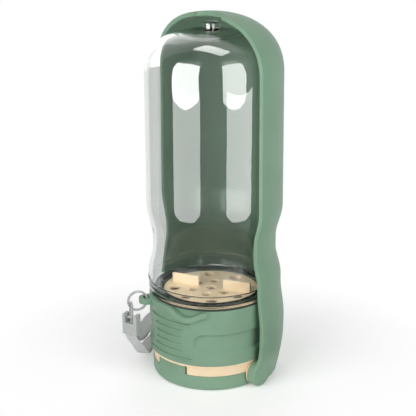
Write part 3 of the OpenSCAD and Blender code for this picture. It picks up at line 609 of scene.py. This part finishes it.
# %% Collar: rows, turning and pressing
ROW_FIRST, ROW_PITCH = 0.5, 0.55
rows = {COLLAR_LOW + ROW_FIRST + ROW_PITCH * i for i in range(62)}
rows = {z for z in rows if z < LIP_LOW - 0.3}
for low in RIB_HEIGHTS:
    rows = {z for z in rows if not low - 0.3 < z < low + RIB_H + 0.3}
    rows |= {low - 0.14, low, low + RIB_H / 2, low + RIB_H, low + RIB_H + 0.14}
rows |= {LIP_LOW - 0.12, LIP_LOW + 0.02, LIP_LOW + 0.4, COLLAR_TOP - 1.6}
outer_wall = [(COLLAR_R, z) for z in sorted(rows)]
inner_rows = [(COLLAR_IN, COLLAR_TOP - 0.4 - 0.9 * i) for i in range(11)]
collar = turned(
    "collar_shell",
    [(0, COLLAR_LOW)] + arc(COLLAR_R - 0.45, COLLAR_LOW + 0.45, 0.45, -90, -10, 4) + outer_wall
    + arc(COLLAR_R - 0.6, COLLAR_TOP - 0.6, 0.6, 0, 90, 5) + [(COLLAR_IN + 0.4, COLLAR_TOP)] + inner_rows
    + [(COLLAR_IN, SEAT_TOP), (SEAT_R, SEAT_TOP), (SEAT_R, SEAT_LOW), (COLLAR_IN, SEAT_LOW)]
    + [(COLLAR_IN, COLLAR_FLOOR), (0, COLLAR_FLOOR)],
    steps=360,
)
for v in collar.data.vertices:
    r, z = math.hypot(v.co.x, v.co.y) / MM, v.co.z / MM
    if r < COLLAR_IN - 0.1:
        continue
    angle = math.degrees(math.atan2(v.co.x, -v.co.y))
    out = 0
    if r > COLLAR_R - 1.0:
        out = RIB_REACH * rib(angle, z) - RECESS_DEPTH * recess(angle, z) + LIP_REACH * lip(angle, z)
    v.co.x *= (r + out) / r
    v.co.y *= (r + out) / r
    v.co.z -= DIP_DEPTH * dip(angle, z) * MM
count(collar)

# %% [markdown]
# The lug for the strap's ring stands out from the lip. It is a flat tongue with a round end and a hole.

# %% Collar: lug
LUG_ANGLE = math.radians(-27)
LUG_ROOT, LUG_REACH, LUG_HALF_W, LUG_LOW, LUG_T = 35.6, 45.2, 4.6, 48.2, 3.2
LUG_HOLE_X, LUG_HOLE_R = 40.4, 2.4


def beside_lug(out, side, z):
    """A place given along the lug, across it and up, in millimetres."""
    return (
        out * math.sin(LUG_ANGLE) + side * math.cos(LUG_ANGLE),
        -out * math.cos(LUG_ANGLE) + side * math.sin(LUG_ANGLE),
        z,
    )


end = [
    (LUG_REACH - LUG_HALF_W + LUG_HALF_W * math.cos(t), LUG_HALF_W * math.sin(t))
    for t in [math.pi * (i / 24 - 0.5) for i in range(25)]
]
tongue = [(LUG_ROOT, -LUG_HALF_W)] + end + [(LUG_ROOT, LUG_HALF_W)]
lug = prism("lug", [beside_lug(x, y, LUG_LOW) for x, y in tongue], LUG_T)
hole = [
    (LUG_HOLE_X + LUG_HOLE_R * math.cos(t), LUG_HOLE_R * math.sin(t))
    for t in [math.pi * i / 16 for i in range(32)]
]
combine(lug, prism("hole", [beside_lug(x, y, LUG_LOW - 2) for x, y in hole], LUG_T + 4), "DIFFERENCE")
round_edges(lug, 0.45, 3, 50)
combine(collar, lug, "UNION")

# %% [markdown]
# The collar's floor has two rings of three holes. They are drilled together, as one joined cutter.

# %% Collar: holes in its floor
FLOOR_HOLES = ((14, 3.5, 0), (23.5, 1.5, 20))  # distance from the axis, radius, and turn in degrees
drills = []
for i in range(3):
    for radius, hole_r, turn in FLOOR_HOLES:
        put_down()
        a = math.radians(turn + 120 * i)
        place = Vector((radius * math.cos(a), radius * math.sin(a), (COLLAR_LOW + COLLAR_FLOOR) / 2)) * MM
        bpy.ops.mesh.primitive_cylinder_add(vertices=32, radius=hole_r * MM, depth=6 * MM, location=place)
        drills.append(bpy.context.active_object)
put_down()
for drill in drills:
    drill.select_set(True)
bpy.context.view_layer.objects.active = drills[0]
bpy.ops.object.join()
combine(collar, drills[0], "DIFFERENCE")
smooth(collar, 30)
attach(collar, "head")
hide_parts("collar")
count(collar)

# %% [markdown]
# ## Ring and link
# A split ring is one wire wound nearly twice, with a jog where it steps over to the second turn. The link
# below it is a plain wire loop with two straight sides. Both are curves with a round bevel, made into
# meshes.

# %% Ring and link
RING_R, RING_WIRE, RING_X, RING_Z = 5.8, 0.55, 46.2, 49.8
LINK_X, LINK_HALF_W, LINK_LOW, LINK_TOP, LINK_WIRE = 50.2, 2.6, 37.8, 49.6, 0.6


def wire(name, points, radius, closed):
    """A round wire along points (x, y, z), in millimetres."""
    curve = bpy.data.curves.new(name, "CURVE")
    curve.dimensions = "3D"
    curve.bevel_depth = radius * MM
    curve.bevel_resolution = 6
    curve.use_fill_caps = True
    spline = curve.splines.new("POLY")
    spline.points.add(len(points) - 1)
    for point, place in zip(spline.points, points):
        point.co = (*[c * MM for c in place], 1)
    spline.use_cyclic_u = closed
    piece = bpy.data.objects.new(name, curve)
    bpy.context.scene.collection.objects.link(piece)
    pick(piece)
    bpy.ops.object.convert(target="MESH")
    piece = bpy.context.active_object
    piece.name = piece.data.name = name
    tidy_mesh(piece)
    smooth(piece, 50)
    return piece


RING_START, RING_TURN, RING_STEPS = 20, 680, 170
JOG_AT, JOG_FROM, JOG_TO = 150, 338, 382
turns = []
for i in range(RING_STEPS + 1):
    t = RING_START + RING_TURN * i / RING_STEPS
    a = math.radians(t + JOG_AT)
    shift = (RING_WIRE - 0.04) * (2 * step(JOG_FROM, JOG_TO, t) - 1)
    turns.append(beside_lug(RING_X + RING_R * math.cos(a), shift, RING_Z + RING_R * math.sin(a)))
split_ring = wire("split_ring_wound", turns, RING_WIRE, False)
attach(split_ring, "ring")
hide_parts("split_ring")

loop = []
for mid, start in ((LINK_LOW + LINK_HALF_W, 180), (LINK_TOP - LINK_HALF_W, 0)):
    for i in range(25):
        a = math.radians(start + 180 * i / 24)
        loop.append(beside_lug(LINK_X, LINK_HALF_W * math.cos(a), mid + LINK_HALF_W * math.sin(a)))
strap_link = wire("strap_link_wire", loop, LINK_WIRE, True)
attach(strap_link, "link")
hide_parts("strap_link")
count(split_ring)
count(strap_link)

# %% [markdown]
# ## Materials
# The plastics, metals and fillings take their patterns from Object coordinates, so that a pattern stays on
# its piece at any pose. The plastics are satin: a soft unevenness in the colour and the roughness, and a
# very fine grain that breaks up the gloss. The tank is plain clear plastic, and the webbing has its own map.

# %% Material helpers
def new_material(name):
    material = bpy.data.materials.new(name)
    material.use_nodes = True
    nodes = material.node_tree.nodes
    return material, nodes, material.node_tree.links, nodes["Principled BSDF"]


def noise(nodes, links, scale, detail, roughness=0.5):
    """A noise on Object coordinates, in metres."""
    place = nodes.new("ShaderNodeTexCoord")
    pattern = nodes.new("ShaderNodeTexNoise")
    pattern.inputs["Scale"].default_value = scale
    pattern.inputs["Detail"].default_value = detail
    pattern.inputs["Roughness"].default_value = roughness
    links.new(place.outputs["Object"], pattern.inputs["Vector"])
    return pattern.outputs["Fac"]


def between(nodes, links, value, low, high, from_low=0.3, from_high=0.7):
    """Maps a pattern to a range of values."""
    node = nodes.new("ShaderNodeMapRange")
    node.inputs["From Min"].default_value = from_low
    node.inputs["From Max"].default_value = from_high
    node.inputs["To Min"].default_value = low
    node.inputs["To Max"].default_value = high
    links.new(value, node.inputs["Value"])
    return node.outputs["Result"]


def two_colours(nodes, links, value, dark, light, low=0.35, high=0.65):
    ramp = nodes.new("ShaderNodeValToRGB")
    ramp.color_ramp.elements[0].position = low
    ramp.color_ramp.elements[1].position = high
    ramp.color_ramp.elements[0].color = (*dark, 1)
    ramp.color_ramp.elements[1].color = (*light, 1)
    links.new(value, ramp.inputs["Fac"])
    return ramp.outputs["Color"]


def bump(nodes, links, value, strength, distance, shader):
    node = nodes.new("ShaderNodeBump")
    node.inputs["Strength"].default_value = strength
    node.inputs["Distance"].default_value = distance
    links.new(value, node.inputs["Height"])
    links.new(node.outputs["Normal"], shader.inputs["Normal"])


# %% Materials: the satin plastics
def shade(colour, factor):
    return tuple(min(c * factor, 1) for c in colour)


def satin_plastic(name, colour, roughness, grain=0.12):
    material, nodes, links, shader = new_material(name)
    cloud = noise(nodes, links, 60, 2)
    tint = two_colours(nodes, links, cloud, shade(colour, 0.965), shade(colour, 1.03))
    links.new(tint, shader.inputs["Base Color"])
    fine = noise(nodes, links, 2600, 2)
    gloss = between(nodes, links, noise(nodes, links, 240, 3), roughness - 0.04, roughness + 0.05)
    links.new(gloss, shader.inputs["Roughness"])
    bump(nodes, links, fine, grain, 0.00005, shader)
    shader.inputs["Specular IOR Level"].default_value = 0.45
    return material


green_plastic = satin_plastic("green_plastic", (0.209, 0.342, 0.235), 0.46)
beige_plastic = satin_plastic("beige_plastic", (0.92, 0.72, 0.49), 0.42)
grey_plastic = satin_plastic("grey_plastic", (0.44, 0.46, 0.45), 0.30, 0.08)
silicone = satin_plastic("silicone", (0.055, 0.062, 0.058), 0.60, 0.2)


# %% Materials: clear plastic
NEAR_WALL, FAR_WALL = 0.98, 0.48
SMOKY, CLEAR_IOR = (0.765, 0.785, 0.77, 1), 1.42


def clear_plastic():
    """Lamps shine through it, so what stands inside is lit, and less so what stands behind both walls."""
    material, nodes, links, shader = new_material("clear_plastic")
    shader.inputs["Base Color"].default_value = SMOKY
    shader.inputs["Roughness"].default_value = 0.01
    shader.inputs["IOR"].default_value = CLEAR_IOR
    shader.inputs["Transmission Weight"].default_value = 1
    shader.inputs["Specular IOR Level"].default_value = 0.8
    through = nodes.new("ShaderNodeBsdfTransparent")
    path = nodes.new("ShaderNodeLightPath")
    depth = between(nodes, links, path.outputs["Transparent Depth"], NEAR_WALL, FAR_WALL, 1.4, 1.6)
    links.new(depth, through.inputs["Color"])
    mix = nodes.new("ShaderNodeMixShader")
    links.new(path.outputs["Is Shadow Ray"], mix.inputs["Fac"])
    links.new(shader.outputs["BSDF"], mix.inputs[1])
    links.new(through.outputs["BSDF"], mix.inputs[2])
    links.new(mix.outputs["Shader"], nodes["Material Output"].inputs["Surface"])
    return material


# %% Materials: metals
def steel(name, colour, roughness, scratch, metallic=1.0):
    material, nodes, links, shader = new_material(name)
    shader.inputs["Metallic"].default_value = metallic
    streaks = noise(nodes, links, scratch, 4, 0.6)
    links.new(two_colours(nodes, links, streaks, shade(colour, 0.9), shade(colour, 1.08)),
              shader.inputs["Base Color"])
    links.new(between(nodes, links, streaks, roughness - 0.06, roughness + 0.08), shader.inputs["Roughness"])
    bump(nodes, links, streaks, 0.05, 0.00005, shader)
    return material


# %% Materials: webbing, felt and carbon
WEB_DARK, WEB_LIGHT = (0.38, 0.39, 0.39), (0.88, 0.89, 0.89)


def webbing():
    """Ribs run along the strap; fine picks cross them. It follows the strap's own map."""
    material, nodes, links, shader = new_material("webbing")
    place = nodes.new("ShaderNodeUVMap")
    place.uv_map = "along_the_strap"
    picks = nodes.new("ShaderNodeTexWave")
    picks.wave_type = "BANDS"
    picks.bands_direction = "X"
    picks.inputs["Scale"].default_value = 0.42
    picks.inputs["Distortion"].default_value = 0.6
    picks.inputs["Detail"].default_value = 1
    ribs = nodes.new("ShaderNodeTexWave")
    ribs.wave_type = "BANDS"
    ribs.bands_direction = "Y"
    ribs.inputs["Scale"].default_value = 0.9
    links.new(place.outputs["UV"], picks.inputs["Vector"])
    links.new(place.outputs["UV"], ribs.inputs["Vector"])
    both = nodes.new("ShaderNodeMath")
    both.operation = "MULTIPLY"
    links.new(picks.outputs["Fac"], both.inputs[0])
    links.new(ribs.outputs["Fac"], both.inputs[1])
    tint = two_colours(nodes, links, both.outputs["Value"], WEB_DARK, WEB_LIGHT, 0.1, 0.7)
    links.new(tint, shader.inputs["Base Color"])
    shader.inputs["Roughness"].default_value = 0.8
    shader.inputs["Sheen Weight"].default_value = 0.3
    bump(nodes, links, both.outputs["Value"], 0.4, 0.0002, shader)
    return material


def granular(name, dark, light, scale, roughness, depth):
    """Felt's fibres or carbon's grains: a rough surface broken up by noise."""
    material, nodes, links, shader = new_material(name)
    grains = noise(nodes, links, scale, 5, 0.65)
    links.new(two_colours(nodes, links, grains, dark, light), shader.inputs["Base Color"])
    shader.inputs["Roughness"].default_value = roughness
    bump(nodes, links, grains, 0.5, depth, shader)
    return material


FINISHES = {
    "green_plastic": green_plastic,
    "beige_plastic": beige_plastic,
    "grey_plastic": grey_plastic,
    "silicone": silicone,
    "clear_plastic": clear_plastic(),
    "screw_steel": steel("screw_steel", (0.60, 0.60, 0.61), 0.28, 900),
    "ring_steel": steel("ring_steel", (0.78, 0.78, 0.78), 0.30, 700, 0.55),
    "webbing": webbing(),
    "felt": granular("felt", (0.70, 0.70, 0.66), (0.90, 0.90, 0.86), 900, 0.95, 0.0003),
    "carbon": granular("carbon", (0.012, 0.012, 0.013), (0.05, 0.05, 0.05), 800, 0.6, 0.0006),
}

# %% Materials: put on every piece
slots = {row["node"]: row["material_slot"] for row in frame["record"]["subparts"]}


def dress(piece, finish):
    piece.data.materials.clear()
    piece.data.materials.append(FINISHES[finish])


for piece, finish in (
    (strap, "webbing"), (tank, "clear_plastic"), (trough, "green_plastic"), (collar, "green_plastic"),
    (split_ring, "ring_steel"), (strap_link, "ring_steel"), (valve_body, "beige_plastic"),
):
    dress(piece, finish)

# %% [markdown]
# The pieces that stay as the frame made them keep their shapes. Those listed in ROUNDED get a small rounding
# of their edges from live modifiers, which leave the mesh itself alone: Weld joins the loose triangles, a
# planar Decimate clears the flat faces, and Bevel rounds what is left.

# %% Frame pieces: rounded edges and finishes
ROUNDED = {
    "base_cap": 0.35, "filter_lid": 0.3, "strap_clamp": 0.4, "filter_basket": 0.2,
    "thread_sleeve": 0.2, "tank_gasket": 0.25, "clamp_pin": 0.1,
}
replaced_nodes = {
    "tank", "trough", "collar", "valve_body", "split_ring", "strap_link", "strap_legs", "strap_loop",
}
for name, piece in frame["nodes"].items():
    if name in replaced_nodes:
        continue
    finish = FINISHES[slots[name]]
    for slot in piece.material_slots:
        slot.link = "OBJECT"
        slot.material = finish
    if name in ROUNDED:
        weld = piece.modifiers.new("weld", "WELD")
        weld.merge_threshold = 1e-6
        flat = piece.modifiers.new("flat", "DECIMATE")
        flat.decimate_type = "DISSOLVE"
        flat.angle_limit = math.radians(0.5)
        edge = piece.modifiers.new("edge", "BEVEL")
        edge.width = ROUNDED[name] * MM
        edge.segments = 2
        edge.limit_method = "ANGLE"
        edge.angle_limit = math.radians(40)
        edge.harden_normals = False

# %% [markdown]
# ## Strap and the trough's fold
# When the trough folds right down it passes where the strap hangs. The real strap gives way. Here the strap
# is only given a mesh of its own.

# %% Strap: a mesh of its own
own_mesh(strap)

# %% [markdown]
# ## Studio
# A pale floor runs off into a white world. Near the bottle it is paper, which takes a soft shadow, and
# further out it glows as white as the world, so that no edge of it shows.

# %% Floor
def seen_rays(nodes, links):
    """1 for rays that show a background: the camera's own, and those that reflect or pass through glass."""
    path = nodes.new("ShaderNodeLightPath")
    first = nodes.new("ShaderNodeMath")
    first.operation = "MAXIMUM"
    second = nodes.new("ShaderNodeMath")
    second.operation = "MAXIMUM"
    links.new(path.outputs["Is Camera Ray"], first.inputs[0])
    links.new(path.outputs["Is Glossy Ray"], first.inputs[1])
    links.new(first.outputs["Value"], second.inputs[0])
    links.new(path.outputs["Is Transmission Ray"], second.inputs[1])
    return second.outputs["Value"]


def mixed(nodes, links, factor, first, second):
    mix = nodes.new("ShaderNodeMixShader")
    links.new(factor, mix.inputs["Fac"])
    links.new(first, mix.inputs[1])
    links.new(second, mix.inputs[2])
    return mix.outputs["Shader"]


def glow(nodes, strength):
    light = nodes.new("ShaderNodeEmission")
    light.inputs["Strength"].default_value = strength
    return light.outputs["Emission"]


def paper(nodes, grey):
    diffuse = nodes.new("ShaderNodeBsdfDiffuse")
    diffuse.inputs["Color"].default_value = (grey, grey, grey, 1)
    return diffuse.outputs["BSDF"]


FLOOR_BOUNCE, FLOOR_SEEN, FLOOR_GLOW = 0.90, 0.92, 0.27
SHADOW_FROM, SHADOW_TO, FLOOR_SIZE = 0.045, 0.15, 6.0
put_down()
bpy.ops.mesh.primitive_plane_add(size=FLOOR_SIZE, location=(0, 0, 0))
floor = bpy.context.active_object
floor.name = "floor"
floor_material = bpy.data.materials.new("floor_white")
floor_material.use_nodes = True
nodes, links = floor_material.node_tree.nodes, floor_material.node_tree.links
nodes.remove(nodes["Principled BSDF"])
near = nodes.new("ShaderNodeAddShader")
links.new(paper(nodes, FLOOR_SEEN), near.inputs[0])
links.new(glow(nodes, FLOOR_GLOW), near.inputs[1])
place = nodes.new("ShaderNodeTexCoord")
away = nodes.new("ShaderNodeVectorMath")
away.operation = "LENGTH"
links.new(place.outputs["Object"], away.inputs[0])
far = between(nodes, links, away.outputs["Value"], 0, 1, SHADOW_FROM, SHADOW_TO)
background = mixed(nodes, links, far, near.outputs["Shader"], glow(nodes, 1))
surface = mixed(nodes, links, seen_rays(nodes, links), paper(nodes, FLOOR_BOUNCE), background)
links.new(surface, nodes["Material Output"].inputs["Surface"])
floor.data.materials.append(floor_material)

# %% World
ROOM_LIGHT = 0.10
world = bpy.data.worlds.new("white_room")
bpy.context.scene.world = world
world.use_nodes = True
nodes, links = world.node_tree.nodes, world.node_tree.links
dim = nodes["Background"]
dim.inputs["Color"].default_value = (1, 1, 1, 1)
dim.inputs["Strength"].default_value = ROOM_LIGHT
white = nodes.new("ShaderNodeBackground")
white.inputs["Color"].default_value = (1, 1, 1, 1)
white.inputs["Strength"].default_value = 1
room = mixed(nodes, links, seen_rays(nodes, links), dim.outputs["Background"], white.outputs["Background"])
links.new(room, nodes["World Output"].inputs["Surface"])

# %% [markdown]
# Clear plastic looks clear only against something dark, so the camera's side is hung with black cloth, as
# round a photographer's glass. Only reflections see it. The cloth is rather more than half of a dome, with
# a floor of its own just above the studio's.

# %% Black cloth, for reflections
CLOTH_R, CLOTH_NEAR, CLOTH_HALF_TURN, CLOTH_LIFT = 1.1, 0.062, 100, 0.0004
CLOTH_GLOW = 0.03


def only_in_reflections(piece):
    piece.visible_camera = piece.visible_diffuse = piece.visible_transmission = False
    piece.visible_shadow = piece.visible_volume_scatter = False


def cloth_point(turn, distance, height):
    return around(CAMERA_AZIMUTH + math.radians(turn), distance, height)


cloth_line = [(CLOTH_NEAR, CLOTH_LIFT)] + [
    (CLOTH_R * math.cos(t), CLOTH_R * math.sin(t) + CLOTH_LIFT)
    for t in [math.radians(degrees) for degrees in range(0, 91, 10)]
]
cloth_material = bpy.data.materials.new("black_cloth")
cloth_material.use_nodes = True
nodes, links = cloth_material.node_tree.nodes, cloth_material.node_tree.links
nodes.remove(nodes["Principled BSDF"])
links.new(glow(nodes, CLOTH_GLOW), nodes["Material Output"].inputs["Surface"])
cloth = draw("black_cloth", [cloth_point(-CLOTH_HALF_TURN, r, z) / MM for r, z in cloth_line])
spin(cloth, 20, -2 * CLOTH_HALF_TURN)
cloth.data.materials.append(cloth_material)
only_in_reflections(cloth)


# %% [markdown]
# Two large soft boxes stand left and right of the camera, as in a photographer's light tent, and a weaker
# one stands behind the bottle. The streaks on clear plastic come from lamps far brighter than the light
# that falls on the bottle. So five sheen lamps light the tank alone, and only in reflections. They shine
# on the wall above 92 mm, as boards at the lamps' feet would leave it, and they leave out light that has
# already bounced off a dull surface, which would otherwise brighten the inside.

# %% Lamps: sheen on the clear tank
SHEEN_ABOVE = 0.092


def only_a_sheen(box, pieces):
    """The lamp shows only in reflections on the given pieces, above a height, in light not yet scattered."""
    box.visible_diffuse = False
    box.visible_transmission = False
    box.light_linking.receiver_collection = pieces
    box.data.use_nodes = True
    nodes, links = box.data.node_tree.nodes, box.data.node_tree.links
    path, place = nodes.new("ShaderNodeLightPath"), nodes.new("ShaderNodeNewGeometry")
    met, height = nodes.new("ShaderNodeVectorMath"), nodes.new("ShaderNodeSeparateXYZ")
    first, above, both = (nodes.new("ShaderNodeMath") for _ in range(3))
    met.operation, first.operation = "MULTIPLY_ADD", "LESS_THAN"
    above.operation, both.operation = "GREATER_THAN", "MULTIPLY"
    first.inputs[1].default_value, above.inputs[1].default_value = 0.5, SHEEN_ABOVE
    links.new(path.outputs["Diffuse Depth"], first.inputs[0])
    links.new(place.outputs["Incoming"], met.inputs[0])
    links.new(path.outputs["Ray Length"], met.inputs[1])
    links.new(place.outputs["Position"], met.inputs[2])
    links.new(met.outputs["Vector"], height.inputs["Vector"])
    links.new(height.outputs["Z"], above.inputs[0])
    links.new(first.outputs["Value"], both.inputs[0])
    links.new(above.outputs["Value"], both.inputs[1])
    links.new(both.outputs["Value"], nodes["Emission"].inputs["Strength"])


# %% Lamps: soft boxes
def lamp(name, turn, distance, low, high, width, radiance, shines_on=None):
    """An upright soft box, turned from the camera's side of the bottle, of a given brightness."""
    light = bpy.data.lights.new(name, "AREA")
    light.shape = "RECTANGLE"
    light.size = width
    light.size_y = high - low
    light.energy = radiance * math.pi * width * (high - low)
    box = bpy.data.objects.new(name, light)
    bpy.context.scene.collection.objects.link(box)
    box.location = around(CAMERA_AZIMUTH + math.radians(turn), distance, (low + high) / 2)
    aim = Vector((0, 0, box.location.z)) - box.location
    box.rotation_mode = "QUATERNION"
    box.rotation_quaternion = aim.to_track_quat("-Z", "Y")
    box.visible_camera = False
    if shines_on:
        only_a_sheen(box, shines_on)
    else:
        box.visible_glossy = False
    return box


shiny = bpy.data.collections.new("shiny_pieces")
shiny.objects.link(tank)

lamp("left_softbox", -45, 0.75, 0.02, 1.20, 0.70, 2.75)
lamp("right_softbox", 41, 0.75, 0.02, 1.20, 0.60, 2.6)
lamp("rear_softbox", 180, 0.90, 0.02, 1.20, 1.00, 1.3)
lamp("left_sheen", -44, 0.75, 0.001, 1.20, 0.66, 26.0, shiny)
lamp("right_sheen", 40, 0.75, 0.001, 1.20, 0.56, 17.0, shiny)
lamp("left_low_sheen", -41, 0.30, 0.001, 0.12, 0.26, 11.0, shiny)
lamp("right_low_sheen", 48, 0.30, 0.001, 0.12, 0.25, 11.5, shiny)
lamp_above = lamp("top_sheen", 150, 0.10, 0.90, 1.20, 0.60, 14.0, shiny)
lamp_above.rotation_quaternion = Vector((0, 0, -1)).to_track_quat("-Z", "Y")

# %% [markdown]
# The plain view transform keeps the whites white, as in a catalogue photograph.

# %% View
bpy.context.scene.view_settings.view_transform = "Standard"
